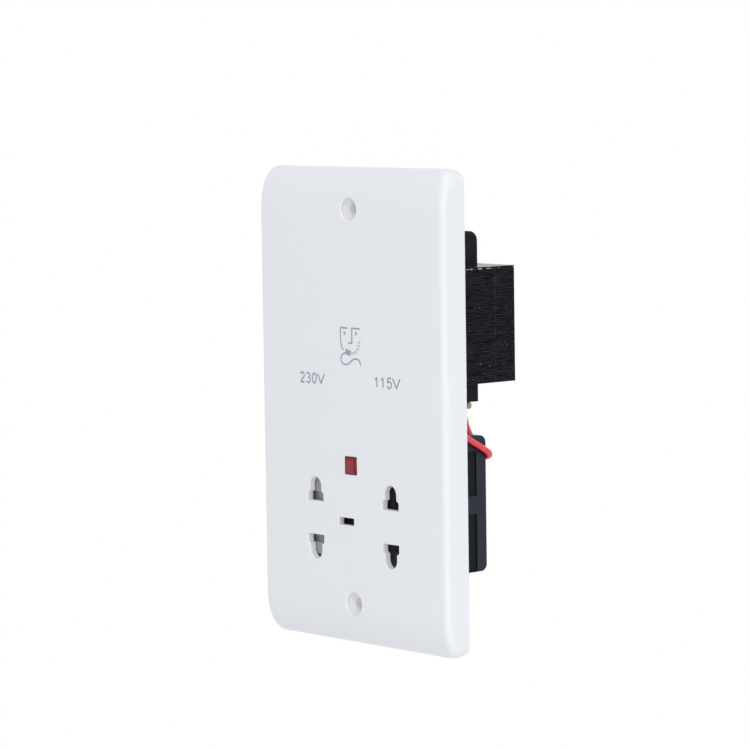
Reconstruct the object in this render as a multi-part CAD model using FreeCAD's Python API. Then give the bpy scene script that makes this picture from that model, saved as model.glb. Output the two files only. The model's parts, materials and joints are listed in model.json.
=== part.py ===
import FreeCAD, Part
import math
import os

# Dual-voltage shaver socket on a two-gang vertical wall plate, in millimetres.
# X is to the right of someone who faces the plate, Y runs into the wall and Z is up.
# The origin is the middle of the plate's rear rim, in the plane of the wall.

# Front plate: a white moulding, hollow at the back, whose front rolls back to its upper and lower ends.
# Behind the roll each end comes in towards the wall along an arc, by the end drop.
PLATE_W = 86.0
PLATE_H = 146.0
PLATE_DEPTH = 8.8
PLATE_ROLL_DEPTH = 5.4
PLATE_ROLL_H = 12.3
PLATE_END_DROP = 2.0
PLATE_CORNER_R = 4.2
PLATE_EDGE_R = 1.8
PLATE_WALL = 2.2
PLATE_SKIRT = 2.4
HOLLOW_CORNER_R = 2.2

# Wall fixing: two screw cups on the standard pitch, each with a 90 degree seat for a countersunk head
FIXING_PITCH = 120.6
FIXING_HOLE_D = 3.9
FIXING_CUP_D = 6.9
FIXING_CUP_DEPTH = 1.0
FIXING_LIP_R = 0.6
FIXING_BOSS_D = 11.0

# Pin apertures: a round-ended arch for round pins that widens into a slot for flat blades
COLUMN_PITCH = 35.3
OUTLET_Z = -35.1
ARCH_W = 5.4
ARCH_REACH = 12.6
BLADE_W = 7.4
BLADE_INNER = 5.2
BLADE_OUTER = 7.6
BLADE_STEP = 0.6
APERTURE_LIP_R = 0.4
PIN_ENTRY_MARGIN = 0.4

# Centre slot, which shows where the shutter stands
SLOT_W = 7.1
SLOT_H = 2.3
SLOT_X = -3.05

# Pilot lamp: lens, neon and series resistor
LENS_X = -0.35
LENS_W = 5.5
LENS_H = 5.4
LENS_RISE = 17.4
LENS_BEVEL = 0.5
LENS_PROUD = 0.4
LENS_WALL = 0.9
LAMP_D = 3.6
LAMP_L = 8.6
RESISTOR_D = 2.3
RESISTOR_L = 6.3
LAMP_WIRE_D = 0.6
LAMP_WIRE_L = 1.0
LAMP_LEAD_D = 1.0

# Interlock shutter, which bars one pair of apertures while the other is in use
SHUTTER_T = 2.2
SHUTTER_TRAVEL = 12.2
SHUTTER_MARGIN = 0.7
SHUTTER_LEAD = 1.8
SHUTTER_RISE = 12.9
SHUTTER_DROP = 11.6
SHUTTER_INNER = 4.7
SHUTTER_WEB_W = 7.7
SHUTTER_RAMP = 1.2
GUIDE_W = 1.2
STOP_W = 1.5

# Contact box: a base with the contacts and a rear cover that snaps over it
BOX_W = 56.0
BOX_ABOVE = 26.5
BOX_BELOW = 15.1
BOX_DEPTH = 25.0
BOX_EDGE_R = 2.2
BOX_SIDE_R = 0.6
BASE_WALL = 1.8
COVER_WALL = 2.0
COVER_SKIRT = 0.8
COVER_SKIRT_DEPTH = 4.2
COVER_HOOD_DEPTH = 19.6
COVER_HOOD_H = 4.6
COVER_TAB_W = 5.5
COVER_TAB_RISE = 5.5
COVER_TAB_DEPTH = 19.2
COVER_WINDOW_RECESS = 0.4
EAR_LENGTH = 7.5
EAR_W = 7.0
EAR_T = 2.4
EAR_RISES = (19.4, -9.6)
RIB_T = 1.2
SHELF_RISE = 13.4
POST_D = 5.5
POST_X = 8.5

# Contacts: sprung strip, bent into a mouth that grips a pin
CONTACT_T = 0.5
CONTACT_W = 7.0
CONTACT_MOUTH = 3.6
CONTACT_GRIP = 1.7
CONTACT_BACK = 3.3
CONTACT_DEPTH = 16.3
COMMON_BAR_W = 4.0

# Mains terminals: brass blocks with a wire bore from above and a clamp screw from the rear
TERMINAL_X = 14.5
TERMINAL_W = 9.0
TERMINAL_DEPTH = 9.2
TERMINAL_WALL_Y = 8.6
WIRE_BORE_D = 4.2
CLAMP_INSET = 1.9

# Transformer: E and I laminations stacked along Z
LAM_LEG_W = 8.0
STACK = 35.5
CORE_BOTTOM = 6.6
CORE_STANDOFF = 3.7
CORE_REST_W = 2.0
CAP_ABOVE = 10.6
CAP_BELOW = 6.3
CAP_REAR_GAP = 0.2
CAP_OVERHANG = 0.7
CAP_WALL = 1.4
CAP_TOP_R = 3.0
CAP_SIDE_R = 1.0
CAP_EAR_W = 5.0
BOBBIN_WALL = 1.0
COIL_BUILD = 3.0

# Thermal fuse under the lower cap
FUSE_D = 2.1
FUSE_L = 9.5
FUSE_X = 10.95
FUSE_FROM_REAR = 3.1
FUSE_WIRE_D = 0.6

# Leads, and the sleeve on the live one
LEAD_D = 1.9
LEAD_EXIT_X = 14.4
SLEEVE_T = 0.3
SLEEVE_SPAN = (0.42, 0.61)

# Screws: head diameter, head height, shank diameter
SELF_TAPPER = (5.0, 1.8, 2.4)
CLAMP_SCREW = (5.4, 2.0, 3.1)
SCREW_BITE = 2.6
BOSS_D = 6.4

# Clearances
RUN_CLEAR = 0.3
FIT_CLEAR = 0.1
CORE_CLEAR = 0.2

# Planes and places that follow from the sizes above
FRONT = -PLATE_DEPTH
INNER = FRONT + PLATE_WALL
COLUMNS = (-COLUMN_PITCH / 2, COLUMN_PITCH / 2)
LENS_Z = OUTLET_Z + LENS_RISE
SHUTTER_WEB_X = SLOT_X - SHUTTER_TRAVEL
SHUTTER_FRONT = INNER + RUN_CLEAR
BASE_FRONT = SHUTTER_FRONT + SHUTTER_T + RUN_CLEAR
BOX_REAR = BASE_FRONT + BOX_DEPTH
BOX_TOP = OUTLET_Z + BOX_ABOVE
BOX_BOTTOM = OUTLET_Z - BOX_BELOW
BASE_INSET = COVER_SKIRT + FIT_CLEAR
BASE_HALF_W = BOX_W / 2 - BASE_INSET
BASE_TOP = BOX_TOP - BASE_INSET
BASE_BOTTOM = BOX_BOTTOM + BASE_INSET
BASE_INSIDE = BASE_FRONT + BASE_WALL
COVER_INSIDE = BOX_REAR - COVER_WALL
SHELF_TOP = OUTLET_Z + SHELF_RISE + RIB_T / 2
EAR_X = BASE_HALF_W + EAR_LENGTH / 2
CONTACT_REAR = BASE_INSIDE + RUN_CLEAR + CONTACT_DEPTH
TERMINAL_FRONT = BASE_FRONT + TERMINAL_WALL_Y + RIB_T + FIT_CLEAR
TERMINAL_REAR = TERMINAL_FRONT + TERMINAL_DEPTH
TERMINAL_TOP = BASE_TOP - BASE_WALL - FIT_CLEAR
CLAMP_Z = (SHELF_TOP + TERMINAL_TOP) / 2
LAMP_Y = BASE_INSIDE + FIT_CLEAR + LAMP_D / 2
CORE_FRONT = INNER + CORE_STANDOFF
CORE_TOP = CORE_BOTTOM + STACK
WINDOW_FRONT = CORE_FRONT + LAM_LEG_W
JOINT_Y = CORE_FRONT + 4 * LAM_LEG_W
CORE_REAR = JOINT_Y + LAM_LEG_W
CAP_HALF_W = 2 * LAM_LEG_W
CAP_EAR_X = 3 * LAM_LEG_W - CAP_EAR_W / 2
CAP_REAR = JOINT_Y - CAP_REAR_GAP
CAP_FLOOR = CORE_BOTTOM - CAP_BELOW
CAP_CEILING = CORE_TOP + CAP_ABOVE
BOBBIN_FRONT = WINDOW_FRONT + CORE_CLEAR
BOBBIN_REAR = CAP_REAR - CAP_WALL - CORE_CLEAR
FUSE_Y = CAP_REAR - FUSE_FROM_REAR
FUSE_Z = CAP_FLOOR - FUSE_D / 2 - FIT_CLEAR

V = FreeCAD.Vector
AXIS_X = V(1, 0, 0)
AXIS_Y = V(0, 1, 0)
AXIS_Z = V(0, 0, 1)
TINY = 1e-4


def block(xs, ys, zs):
    """A box between two limits along each axis."""
    low = V(xs[0], ys[0], zs[0])
    return Part.makeBox(xs[1] - xs[0], ys[1] - ys[0], zs[1] - zs[0], low)


def rod(start, axis, length, diameter):
    """A round bar from a point along an axis."""
    return Part.makeCylinder(diameter / 2, length, start, axis)


def boss(x, z, ys, diameter):
    """A round boss along Y between two limits."""
    return rod(V(x, ys[0], z), AXIS_Y, ys[1] - ys[0], diameter)


def edges_along(shape, axis):
    """The straight edges that run along a main axis."""
    found = []
    for edge in shape.Edges:
        first, last = edge.Vertexes[0].Point, edge.Vertexes[-1].Point
        run = last - first
        if run.Length > TINY and abs(abs(run.dot(axis)) - run.Length) < TINY:
            found.append(edge)
    return found


def edges_inside(shape, xs, ys, zs):
    """The edges that lie wholly between limits along each axis."""
    found = []
    for edge in shape.Edges:
        box = edge.BoundBox
        in_x = xs[0] - TINY <= box.XMin and box.XMax <= xs[1] + TINY
        in_y = ys[0] - TINY <= box.YMin and box.YMax <= ys[1] + TINY
        in_z = zs[0] - TINY <= box.ZMin and box.ZMax <= zs[1] + TINY
        if in_x and in_y and in_z:
            found.append(edge)
    return found


def screw(x, z, seat, size, length):
    """A cross-head screw along Y: its head stands behind the seat, its shank runs towards the front."""
    head_d, head_h, shank_d = size
    head = boss(x, z, (seat, seat + head_h), head_d)
    top = [edge for edge in head.Edges if edge.BoundBox.YMin > seat + head_h - TINY]
    head = head.makeChamfer(head_h * 0.35, top)
    shank = boss(x, z, (seat - length, seat), shank_d)
    tip = [edge for edge in shank.Edges if edge.BoundBox.YMax < seat - length + TINY]
    shank = shank.makeChamfer(shank_d * 0.3, tip)
    arm, slot = head_d * 0.28, head_d * 0.07
    recess_y = (seat + head_h * 0.45, seat + head_h)
    recess = block((x - arm, x + arm), recess_y, (z - slot, z + slot))
    recess = recess.fuse(block((x - slot, x + slot), recess_y, (z - arm, z + arm)))
    return head.fuse(shank).cut(recess)


def aperture(column, up, ys, margin=0.0):
    """A pin aperture above (up = 1) or below (up = -1) the outlet's middle, as a solid along Y."""
    half_arch = ARCH_W / 2 + margin
    half_blade = BLADE_W / 2 + margin
    inner = BLADE_INNER - margin
    outer = BLADE_OUTER
    step = outer + BLADE_STEP
    arch_z = ARCH_REACH - ARCH_W / 2

    def at(x, rise):
        return V(column + x, ys[0], OUTLET_Z + up * rise)

    corners = [at(-half_arch, arch_z), at(-half_arch, step), at(-half_blade, outer), at(-half_blade, inner)]
    corners += [at(half_blade, inner), at(half_blade, outer), at(half_arch, step), at(half_arch, arch_z)]
    edges = [Part.makeLine(a, b) for a, b in zip(corners, corners[1:])]
    edges.append(Part.Arc(corners[-1], at(0, arch_z + half_arch), corners[0]).toShape())
    return Part.Face(Part.Wire(edges)).extrude(V(0, ys[1] - ys[0], 0))


def all_apertures(ys, margin=0.0):
    """The four pin apertures: two columns, one aperture above and one below the outlet's middle."""
    return [aperture(column, up, ys, margin) for column in COLUMNS for up in (-1, 1)]


def housing_ear_places():
    """X and Z of the contact box's four screw ears."""
    return [(side * EAR_X, OUTLET_Z + rise) for side in (-1, 1) for rise in EAR_RISES]


def cap_ear_places():
    """X and Z of the coil caps' four screw ears."""
    levels = (CORE_TOP + CAP_ABOVE / 2, CORE_BOTTOM - CAP_BELOW / 2)
    return [(side * CAP_EAR_X, z) for side in (-1, 1) for z in levels]


def fixing_levels():
    """Z of the two wall-fixing holes."""
    return (-FIXING_PITCH / 2, FIXING_PITCH / 2)


def rolled_slab(half_w, front, half_h, drop=0.0):
    """A slab in front of the wall whose front rolls back along an ellipse to its upper and lower ends. From
    there the ends run straight to the wall, or roll in along an arc that has dropped by so much there."""
    edges, brows, feet = [], [], []
    for side in (-1, 1):
        centre = V(0, front + PLATE_ROLL_DEPTH, side * (half_h - PLATE_ROLL_H))
        tip = centre + V(0, 0, side * PLATE_ROLL_H)
        brows.append(centre - V(0, PLATE_ROLL_DEPTH, 0))
        feet.append(V(0, 0, side * (half_h - drop)))
        edges.append(Part.ArcOfEllipse(Part.Ellipse(tip, brows[-1], centre), 0, math.pi / 2).toShape())
        edges.append(end_arc(tip, feet[-1]) if drop else Part.makeLine(tip, feet[-1]))
    edges.append(Part.makeLine(brows[0], brows[1]))
    edges.append(Part.makeLine(feet[0], feet[1]))
    slab = Part.Face(Part.Wire(Part.__sortEdges__(edges))).extrude(V(2 * half_w, 0, 0))
    slab.translate(V(-half_w, 0, 0))
    return slab


def end_arc(tip, foot):
    """A round arc that leaves its tip straight back and comes in to its foot."""
    reach, drop = foot.y - tip.y, tip.z - foot.z
    radius = (reach ** 2 + drop ** 2) / (2 * abs(drop))
    half_turn = math.asin(reach / radius) / 2
    sagitta = math.copysign(radius * (1 - math.cos(half_turn)), drop)
    return Part.Arc(tip, tip + V(0, radius * math.sin(half_turn), -sagitta), foot).toShape()


def side_edges(slab):
    """The numbers and edges of a rolled slab's left and right outlines, apart from those at the wall."""
    found = []
    for number, edge in enumerate(slab.Edges, 1):
        if edge.BoundBox.XLength < TINY and edge.BoundBox.YMin < -TINY:
            found.append((number, edge))
    return found


def soft_sided(slab, front):
    """A rolled slab with rounded sides. The radius grows along each roll from the front's to the corner's."""
    document = FreeCAD.newDocument("plate")
    base = document.addObject("Part::Feature", "slab")
    base.Shape = slab
    rounded = document.addObject("Part::Fillet", "rounded")
    rounded.Base = base
    radii = []
    for number, edge in side_edges(slab):
        ends = [edge.valueAt(edge.FirstParameter), edge.valueAt(edge.LastParameter)]
        first, last = [PLATE_EDGE_R if end.y < front + TINY else PLATE_CORNER_R for end in ends]
        radii.append((number, first, last))
    rounded.Edges = radii
    document.recompute()
    shape = rounded.Shape.copy()
    FreeCAD.closeDocument(document.Name)
    return shape


def fixing_cup(z):
    """The cut for a wall screw: its hole, the seat and cup for its head and the cup's rounded lip."""
    lip_r = FIXING_CUP_D / 2 + FIXING_LIP_R
    seat_h = (FIXING_CUP_D - FIXING_HOLE_D) / 2
    seat_start = V(0, FRONT + FIXING_CUP_DEPTH, z)
    seat = Part.makeCone(FIXING_CUP_D / 2, FIXING_HOLE_D / 2, seat_h, seat_start, AXIS_Y)
    hole = boss(0, z, (FRONT, 0), FIXING_HOLE_D)
    cup = boss(0, z, (FRONT, FRONT + FIXING_CUP_DEPTH), FIXING_CUP_D)
    flare = boss(0, z, (FRONT, FRONT + FIXING_LIP_R), 2 * lip_r)
    round_lip = Part.makeTorus(lip_r, FIXING_LIP_R, V(0, FRONT + FIXING_LIP_R, z), AXIS_Y)
    return hole.fuse([seat, cup, flare.cut(round_lip)])


def make_front_plate():
    """The plate: a rolled shell with bosses behind it and the apertures through it."""
    half_w, half_h = PLATE_W / 2, PLATE_H / 2
    shell = soft_sided(rolled_slab(half_w, FRONT, half_h), FRONT)
    shell = shell.common(rolled_slab(half_w, FRONT, half_h, PLATE_END_DROP))
    hollow = rolled_slab(half_w - PLATE_SKIRT, INNER, half_h - PLATE_END_DROP - PLATE_SKIRT)
    hollow = hollow.makeFillet(HOLLOW_CORNER_R, [edge for _, edge in side_edges(hollow)])
    root = INNER - PLATE_WALL / 2
    solids = [boss(0, z, (root, 0), FIXING_BOSS_D) for z in fixing_levels()]
    solids += [boss(x, z, (root, BASE_FRONT), BOSS_D) for x, z in housing_ear_places()]
    solids += [boss(x, z, (root, CORE_FRONT), CAP_BELOW - FIT_CLEAR) for x, z in cap_ear_places()]
    rest_z = (CORE_BOTTOM + CORE_REST_W, CORE_TOP - CORE_REST_W)
    leg = 2.5 * LAM_LEG_W
    for side in (-1, 1):
        rest_x = (side * leg - CORE_REST_W / 2, side * leg + CORE_REST_W / 2)
        solids.append(block(rest_x, (root, CORE_FRONT), rest_z))
    plate = shell.cut(hollow).fuse(solids)
    cuts = all_apertures((FRONT, INNER))
    slot_x = (SLOT_X - SLOT_W / 2, SLOT_X + SLOT_W / 2)
    cuts.append(block(slot_x, (FRONT, INNER), (OUTLET_Z - SLOT_H / 2, OUTLET_Z + SLOT_H / 2)))
    window_x, window_z = lens_limits(FIT_CLEAR)
    cuts.append(block(window_x, (FRONT, INNER), window_z))
    cuts += [fixing_cup(z) for z in fixing_levels()]
    for x, z in housing_ear_places():
        cuts.append(boss(x, z, (BASE_FRONT - SCREW_BITE, BASE_FRONT), SELF_TAPPER[2] + FIT_CLEAR))
    for x, z in cap_ear_places():
        cuts.append(boss(x, z, (CORE_FRONT - SCREW_BITE, CORE_FRONT), SELF_TAPPER[2] + FIT_CLEAR))
    plate = plate.cut(cuts).removeSplitter()
    outlet_x = COLUMN_PITCH / 2 + BLADE_W
    outlet_z = (OUTLET_Z - ARCH_REACH, OUTLET_Z + ARCH_REACH)
    lips = edges_inside(plate, (-outlet_x, outlet_x), (FRONT, FRONT), outlet_z)
    return plate.makeFillet(APERTURE_LIP_R, lips)


def lens_limits(margin):
    """The limits in X and Z of the lens's window, widened by a margin."""
    half_w, half_h = LENS_W / 2 + margin, LENS_H / 2 + margin
    return (LENS_X - half_w, LENS_X + half_w), (LENS_Z - half_h, LENS_Z + half_h)


def make_pilot_lens():
    """A bevelled lens with a skirt that stands between the plate and the contact base."""
    nose = FRONT - LENS_PROUD
    xs, zs = lens_limits(0.0)
    window = block(xs, (nose, INNER), zs)
    window = window.makeChamfer(LENS_BEVEL, edges_inside(window, xs, (nose, nose), zs))
    xs, zs = lens_limits(LENS_WALL)
    skirt = block(xs, (INNER, BASE_FRONT), zs)
    xs, zs = lens_limits(-LENS_WALL)
    inside = block(xs, (nose + LENS_WALL, BASE_FRONT), zs)
    return window.fuse(skirt).cut(inside).removeSplitter()


def make_pilot_lamp():
    """A neon: a glass tube with rounded ends and a wire at each end, lying along X."""
    half = LAMP_L / 2
    bulb = rod(V(-half, LAMP_Y, LENS_Z), AXIS_X, LAMP_L, LAMP_D)
    ends = [edge for edge in bulb.Edges if edge.BoundBox.XLength < TINY]
    bulb = bulb.makeChamfer(LAMP_D * 0.25, ends)
    wire = rod(V(-half - LAMP_WIRE_L, LAMP_Y, LENS_Z), AXIS_X, LAMP_L + 2 * LAMP_WIRE_L, LAMP_WIRE_D)
    return bulb.fuse(wire)


def resistor_start():
    """X where the resistor's wire meets the lamp's."""
    return LAMP_L / 2 + LAMP_WIRE_L


def make_lamp_resistor():
    """The lamp's series resistor, in line with it."""
    start = resistor_start()
    body = rod(V(start + LAMP_WIRE_L, LAMP_Y, LENS_Z), AXIS_X, RESISTOR_L, RESISTOR_D)
    ends = [edge for edge in body.Edges if edge.BoundBox.XLength < TINY]
    body = body.makeChamfer(RESISTOR_D * 0.2, ends)
    wire = rod(V(start, LAMP_Y, LENS_Z), AXIS_X, RESISTOR_L + 2 * LAMP_WIRE_L, LAMP_WIRE_D)
    return body.fuse(wire)


def shutter_pads():
    """X of the shutter's pad in each column, with the shutter at rest over the left one, and the side of its
    ramp."""
    return ((COLUMNS[0], -1), (COLUMNS[1] - SHUTTER_TRAVEL, 1))


def make_interlock_shutter():
    """Two bars joined by a web. A blade that enters a barred slot slides along a ramp and moves the shutter.
    The lower bar has a window beside its left pad."""
    inner, outer = BLADE_W / 2 + SHUTTER_MARGIN, BLADE_W / 2 + SHUTTER_LEAD
    ys = (SHUTTER_FRONT, SHUTTER_FRONT + SHUTTER_T)
    xs = (COLUMNS[0] - outer, COLUMNS[1] - SHUTTER_TRAVEL + outer)
    upper = block(xs, ys, (OUTLET_Z + SHUTTER_INNER, OUTLET_Z + SHUTTER_RISE))
    lower = block(xs, ys, (OUTLET_Z - SHUTTER_DROP, OUTLET_Z - SHUTTER_INNER))
    web_x = (SHUTTER_WEB_X - SHUTTER_WEB_W / 2, SHUTTER_WEB_X + SHUTTER_WEB_W / 2)
    web = block(web_x, ys, (OUTLET_Z - SHUTTER_INNER, OUTLET_Z + SHUTTER_INNER))
    shutter = upper.fuse([lower, web]).removeSplitter()
    ramps = []
    for pad, side in shutter_pads():
        for up in (-1, 1):
            base = OUTLET_Z + up * SHUTTER_INNER
            deep = V(pad + side * outer, ys[0] + SHUTTER_RAMP, base)
            corners = [V(pad - side * inner, ys[0], base), V(deep.x, ys[0], base), deep]
            wedge = Part.Face(Part.makePolygon(corners + corners[:1]))
            ramps.append(wedge.extrude(V(0, 0, up * (BLADE_OUTER - SHUTTER_INNER + RUN_CLEAR))))
    window_x = (COLUMNS[0], COLUMNS[0] + inner)
    window = block(window_x, ys, (OUTLET_Z - BLADE_OUTER - RUN_CLEAR, OUTLET_Z - SHUTTER_INNER))
    return shutter.cut(ramps + [window])


def terminal_places():
    """X of each terminal, of its clamp screw and of its lead."""
    clamp = TERMINAL_X - CLAMP_INSET
    lead = TERMINAL_X + TERMINAL_W / 2 - 0.7 * LEAD_D
    return {
        "neutral": (-TERMINAL_X, -clamp, -lead),
        "earth": (0.0, 0.0, None),
        "live": (TERMINAL_X, clamp, lead),
    }


def wire_bore_y():
    """Y of the terminals' wire bores."""
    return (TERMINAL_FRONT + TERMINAL_REAR) / 2


def entry_bores(z_low, z_high):
    """The bores that let mains wires down into the terminals, between two levels."""
    bores = []
    for _, clamp, _ in terminal_places().values():
        bores.append(rod(V(clamp, wire_bore_y(), z_low), AXIS_Z, z_high - z_low, WIRE_BORE_D))
    return bores


def shutter_guides():
    """Ribs that the shutter's bars run along and stops at the ends of its travel, on the base's front."""
    reach = BLADE_W / 2 + SHUTTER_LEAD + RUN_CLEAR
    left_stop = COLUMNS[0] - reach
    right_stop = COLUMNS[1] + reach
    web_left = SHUTTER_WEB_X - SHUTTER_WEB_W / 2 - RUN_CLEAR
    web_right = SHUTTER_WEB_X + SHUTTER_WEB_W / 2 + SHUTTER_TRAVEL + RUN_CLEAR
    ys = (SHUTTER_FRONT, BASE_FRONT)
    rib = (SHUTTER_INNER - RUN_CLEAR - GUIDE_W, SHUTTER_INNER - RUN_CLEAR)
    guides = []
    for xs in ((left_stop, web_left), (web_right, right_stop)):
        guides.append(block(xs, ys, (OUTLET_Z + rib[0], OUTLET_Z + rib[1])))
        guides.append(block(xs, ys, (OUTLET_Z - rib[1], OUTLET_Z - rib[0])))
    span = (OUTLET_Z - SHUTTER_DROP, OUTLET_Z + SHUTTER_DROP)
    guides.append(block((left_stop - STOP_W, left_stop), ys, span))
    guides.append(block((right_stop, right_stop + STOP_W), ys, span))
    return guides


def base_ears():
    """The ears that the base is screwed to the plate by."""
    ears = []
    for x, z in housing_ear_places():
        side = math.copysign(1, x)
        tip = side * (BASE_HALF_W + EAR_LENGTH)
        root = side * (BASE_HALF_W - BASE_WALL)
        xs = (min(tip, root), max(tip, root))
        ears.append(block(xs, (BASE_FRONT, BASE_FRONT + EAR_T), (z - EAR_W / 2, z + EAR_W / 2)))
    return ears


def tab_levels():
    """Z of the lower and upper edge of the cover's side tabs."""
    middle = OUTLET_Z + COVER_TAB_RISE
    return middle - COVER_TAB_W / 2, middle + COVER_TAB_W / 2


def window_pads():
    """Pads on the base's sides that nearly fill the windows between the cover's hood, tabs and skirt."""
    tab_low, tab_high = tab_levels()
    ys = (BOX_REAR - COVER_TAB_DEPTH, BOX_REAR - COVER_SKIRT_DEPTH - FIT_CLEAR)
    levels = ((BOX_BOTTOM, tab_low - FIT_CLEAR), (tab_high + FIT_CLEAR, BOX_TOP - COVER_HOOD_H - FIT_CLEAR))
    pads = []
    for side in (-1, 1):
        limits = (side * (BASE_HALF_W - BASE_WALL / 2), side * (BOX_W / 2 - COVER_WINDOW_RECESS))
        pads += [block((min(limits), max(limits)), ys, zs) for zs in levels]
    return pads


def make_contact_base():
    """The black base: a tray open to the rear, with ribs for the contacts, the lamp and the terminals."""
    half = BASE_HALF_W
    tray = block((-half, half), (BASE_FRONT, COVER_INSIDE), (BASE_BOTTOM, BASE_TOP))
    inside_x = half - BASE_WALL
    inside_z = (BASE_BOTTOM + BASE_WALL, BASE_TOP - BASE_WALL)
    tray = tray.cut(block((-inside_x, inside_x), (BASE_INSIDE, COVER_INSIDE), inside_z))
    shelf = block((-inside_x, inside_x), (BASE_INSIDE, TERMINAL_REAR), (SHELF_TOP - RIB_T, SHELF_TOP))
    wall_y = (BASE_FRONT + TERMINAL_WALL_Y, BASE_FRONT + TERMINAL_WALL_Y + RIB_T)
    solids = [shelf, block((-inside_x, inside_x), wall_y, (SHELF_TOP, inside_z[1]))]
    for side in (-1, 1):
        wall = side * TERMINAL_X / 2
        wall_x = (wall - RIB_T / 2, wall + RIB_T / 2)
        solids.append(block(wall_x, (wall_y[1], TERMINAL_REAR), (SHELF_TOP, inside_z[1])))
        rib = side * (COLUMN_PITCH / 2 - CONTACT_MOUTH - CONTACT_T - RIB_T)
        rib_y = (BASE_INSIDE, CONTACT_REAR - 2 * CONTACT_T - RUN_CLEAR)
        solids.append(block((rib - RIB_T / 2, rib + RIB_T / 2), rib_y, (inside_z[0], SHELF_TOP - RIB_T)))
        solids.append(boss(side * POST_X, OUTLET_Z, (BASE_INSIDE, COVER_INSIDE), POST_D))
    cradle = block((-LAMP_L / 2 + RIB_T, LAMP_L / 2 - RIB_T), (BASE_INSIDE, wall_y[0]), (SHELF_TOP, LENS_Z))
    rest_x = resistor_start() + LAMP_WIRE_L + RESISTOR_L / 2
    rest = block((rest_x - RIB_T, rest_x + RIB_T), (BASE_INSIDE, wall_y[0]), (SHELF_TOP, LENS_Z))
    solids += [cradle, rest] + shutter_guides() + base_ears() + window_pads()
    base = tray.fuse(solids).removeSplitter()
    cuts = all_apertures((BASE_FRONT, BASE_INSIDE), PIN_ENTRY_MARGIN)
    glow_x, glow_z = lens_limits(-LENS_WALL)
    cuts.append(block(glow_x, (BASE_FRONT, BASE_INSIDE), glow_z))
    lamp_bed = rod(V(-LAMP_L, LAMP_Y, LENS_Z), AXIS_X, 2 * LAMP_L, LAMP_D + 2 * FIT_CLEAR)
    bed_start = V(rest_x - RESISTOR_L, LAMP_Y, LENS_Z)
    resistor_bed = rod(bed_start, AXIS_X, 2 * RESISTOR_L, RESISTOR_D + 2 * FIT_CLEAR)
    cuts += [lamp_bed.common(cradle), resistor_bed.common(rest)]
    cuts += entry_bores(inside_z[1], BASE_TOP)
    for x in lamp_lead_places():
        cuts.append(boss(x, LENS_Z, wall_y, LAMP_LEAD_D + 2 * FIT_CLEAR))
    for x, z in housing_ear_places():
        cuts.append(boss(x, z, (BASE_FRONT, BASE_FRONT + EAR_T), SELF_TAPPER[2] + 4 * FIT_CLEAR))
    for side in (-1, 1):
        pilot = (COVER_INSIDE - 2 * SCREW_BITE, COVER_INSIDE)
        cuts.append(boss(side * POST_X, OUTLET_Z, pilot, SELF_TAPPER[2] + FIT_CLEAR))
    return base.cut(cuts)


def lead_holes():
    """X and Z of the cover's lead holes: to the terminals, the upper contacts and the common bar."""
    places = [(lead, CLAMP_Z) for _, _, lead in terminal_places().values() if lead is not None]
    for column in COLUMNS:
        places.append((column + math.copysign(CONTACT_BACK - LEAD_D / 2, column), contact_level(1)))
    places.append((0.0, contact_level(-1)))
    return places


def make_contact_cover():
    """The rear cover: a rounded tray with a hood over the top and tabs on its sides, with windows between."""
    half = BOX_W / 2
    skirt_front = BOX_REAR - COVER_SKIRT_DEPTH
    hood_y = (BOX_REAR - COVER_HOOD_DEPTH, skirt_front)
    hood_bottom = BOX_TOP - COVER_HOOD_H
    shell = block((-half, half), (skirt_front, BOX_REAR), (BOX_BOTTOM, BOX_TOP))
    shell = shell.fuse(block((-half, half), hood_y, (hood_bottom, BOX_TOP))).removeSplitter()
    ends = [edge for edge in edges_along(shell, AXIS_X) if edge.BoundBox.YMin > BOX_REAR - TINY]
    shell = shell.makeFillet(BOX_EDGE_R, ends)
    corners = (BOX_REAR - BOX_EDGE_R, BOX_REAR)
    sides = edges_inside(shell, (-half, -half), corners, (BOX_BOTTOM, BOX_TOP))
    sides += edges_inside(shell, (half, half), corners, (BOX_BOTTOM, BOX_TOP))
    shell = shell.makeFillet(BOX_SIDE_R, sides)
    inner = half - COVER_SKIRT
    inner_z = (BOX_BOTTOM + COVER_SKIRT, BOX_TOP - COVER_SKIRT)
    shell = shell.cut(block((-inner, inner), (skirt_front, COVER_INSIDE), inner_z))
    shell = shell.cut(block((-inner, inner), hood_y, (hood_bottom, inner_z[1])))
    solids = []
    tab_y = (BOX_REAR - COVER_TAB_DEPTH, skirt_front)
    for side in (-1, 1):
        tab_x = (min(side * half, side * inner), max(side * half, side * inner))
        solids.append(block(tab_x, tab_y, tab_levels()))
        column = side * COLUMN_PITCH / 2
        pad_x = (column - RIB_T, column + RIB_T)
        pad_z = (OUTLET_Z - ARCH_REACH + RIB_T, OUTLET_Z + ARCH_REACH - RIB_T)
        solids.append(block(pad_x, (CONTACT_REAR, COVER_INSIDE), pad_z))
    head_d = CLAMP_SCREW[0]
    collars = [clamp for _, clamp, _ in terminal_places().values()]
    collar_y = (TERMINAL_REAR + FIT_CLEAR, COVER_INSIDE)
    solids += [boss(x, CLAMP_Z, collar_y, head_d + 2 * COVER_SKIRT) for x in collars]
    cover = shell.fuse(solids).removeSplitter()
    cuts = [boss(x, CLAMP_Z, (collar_y[0], BOX_REAR), head_d + 4 * FIT_CLEAR) for x in collars]
    cuts += [boss(x, z, (COVER_INSIDE, BOX_REAR), LEAD_D + 4 * FIT_CLEAR) for x, z in lead_holes()]
    for side in (-1, 1):
        cuts.append(boss(side * POST_X, OUTLET_Z, (COVER_INSIDE, BOX_REAR), SELF_TAPPER[2] + 4 * FIT_CLEAR))
    cuts += entry_bores(BOX_TOP - COVER_SKIRT, BOX_TOP)
    return cover.cut(cuts)


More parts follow.
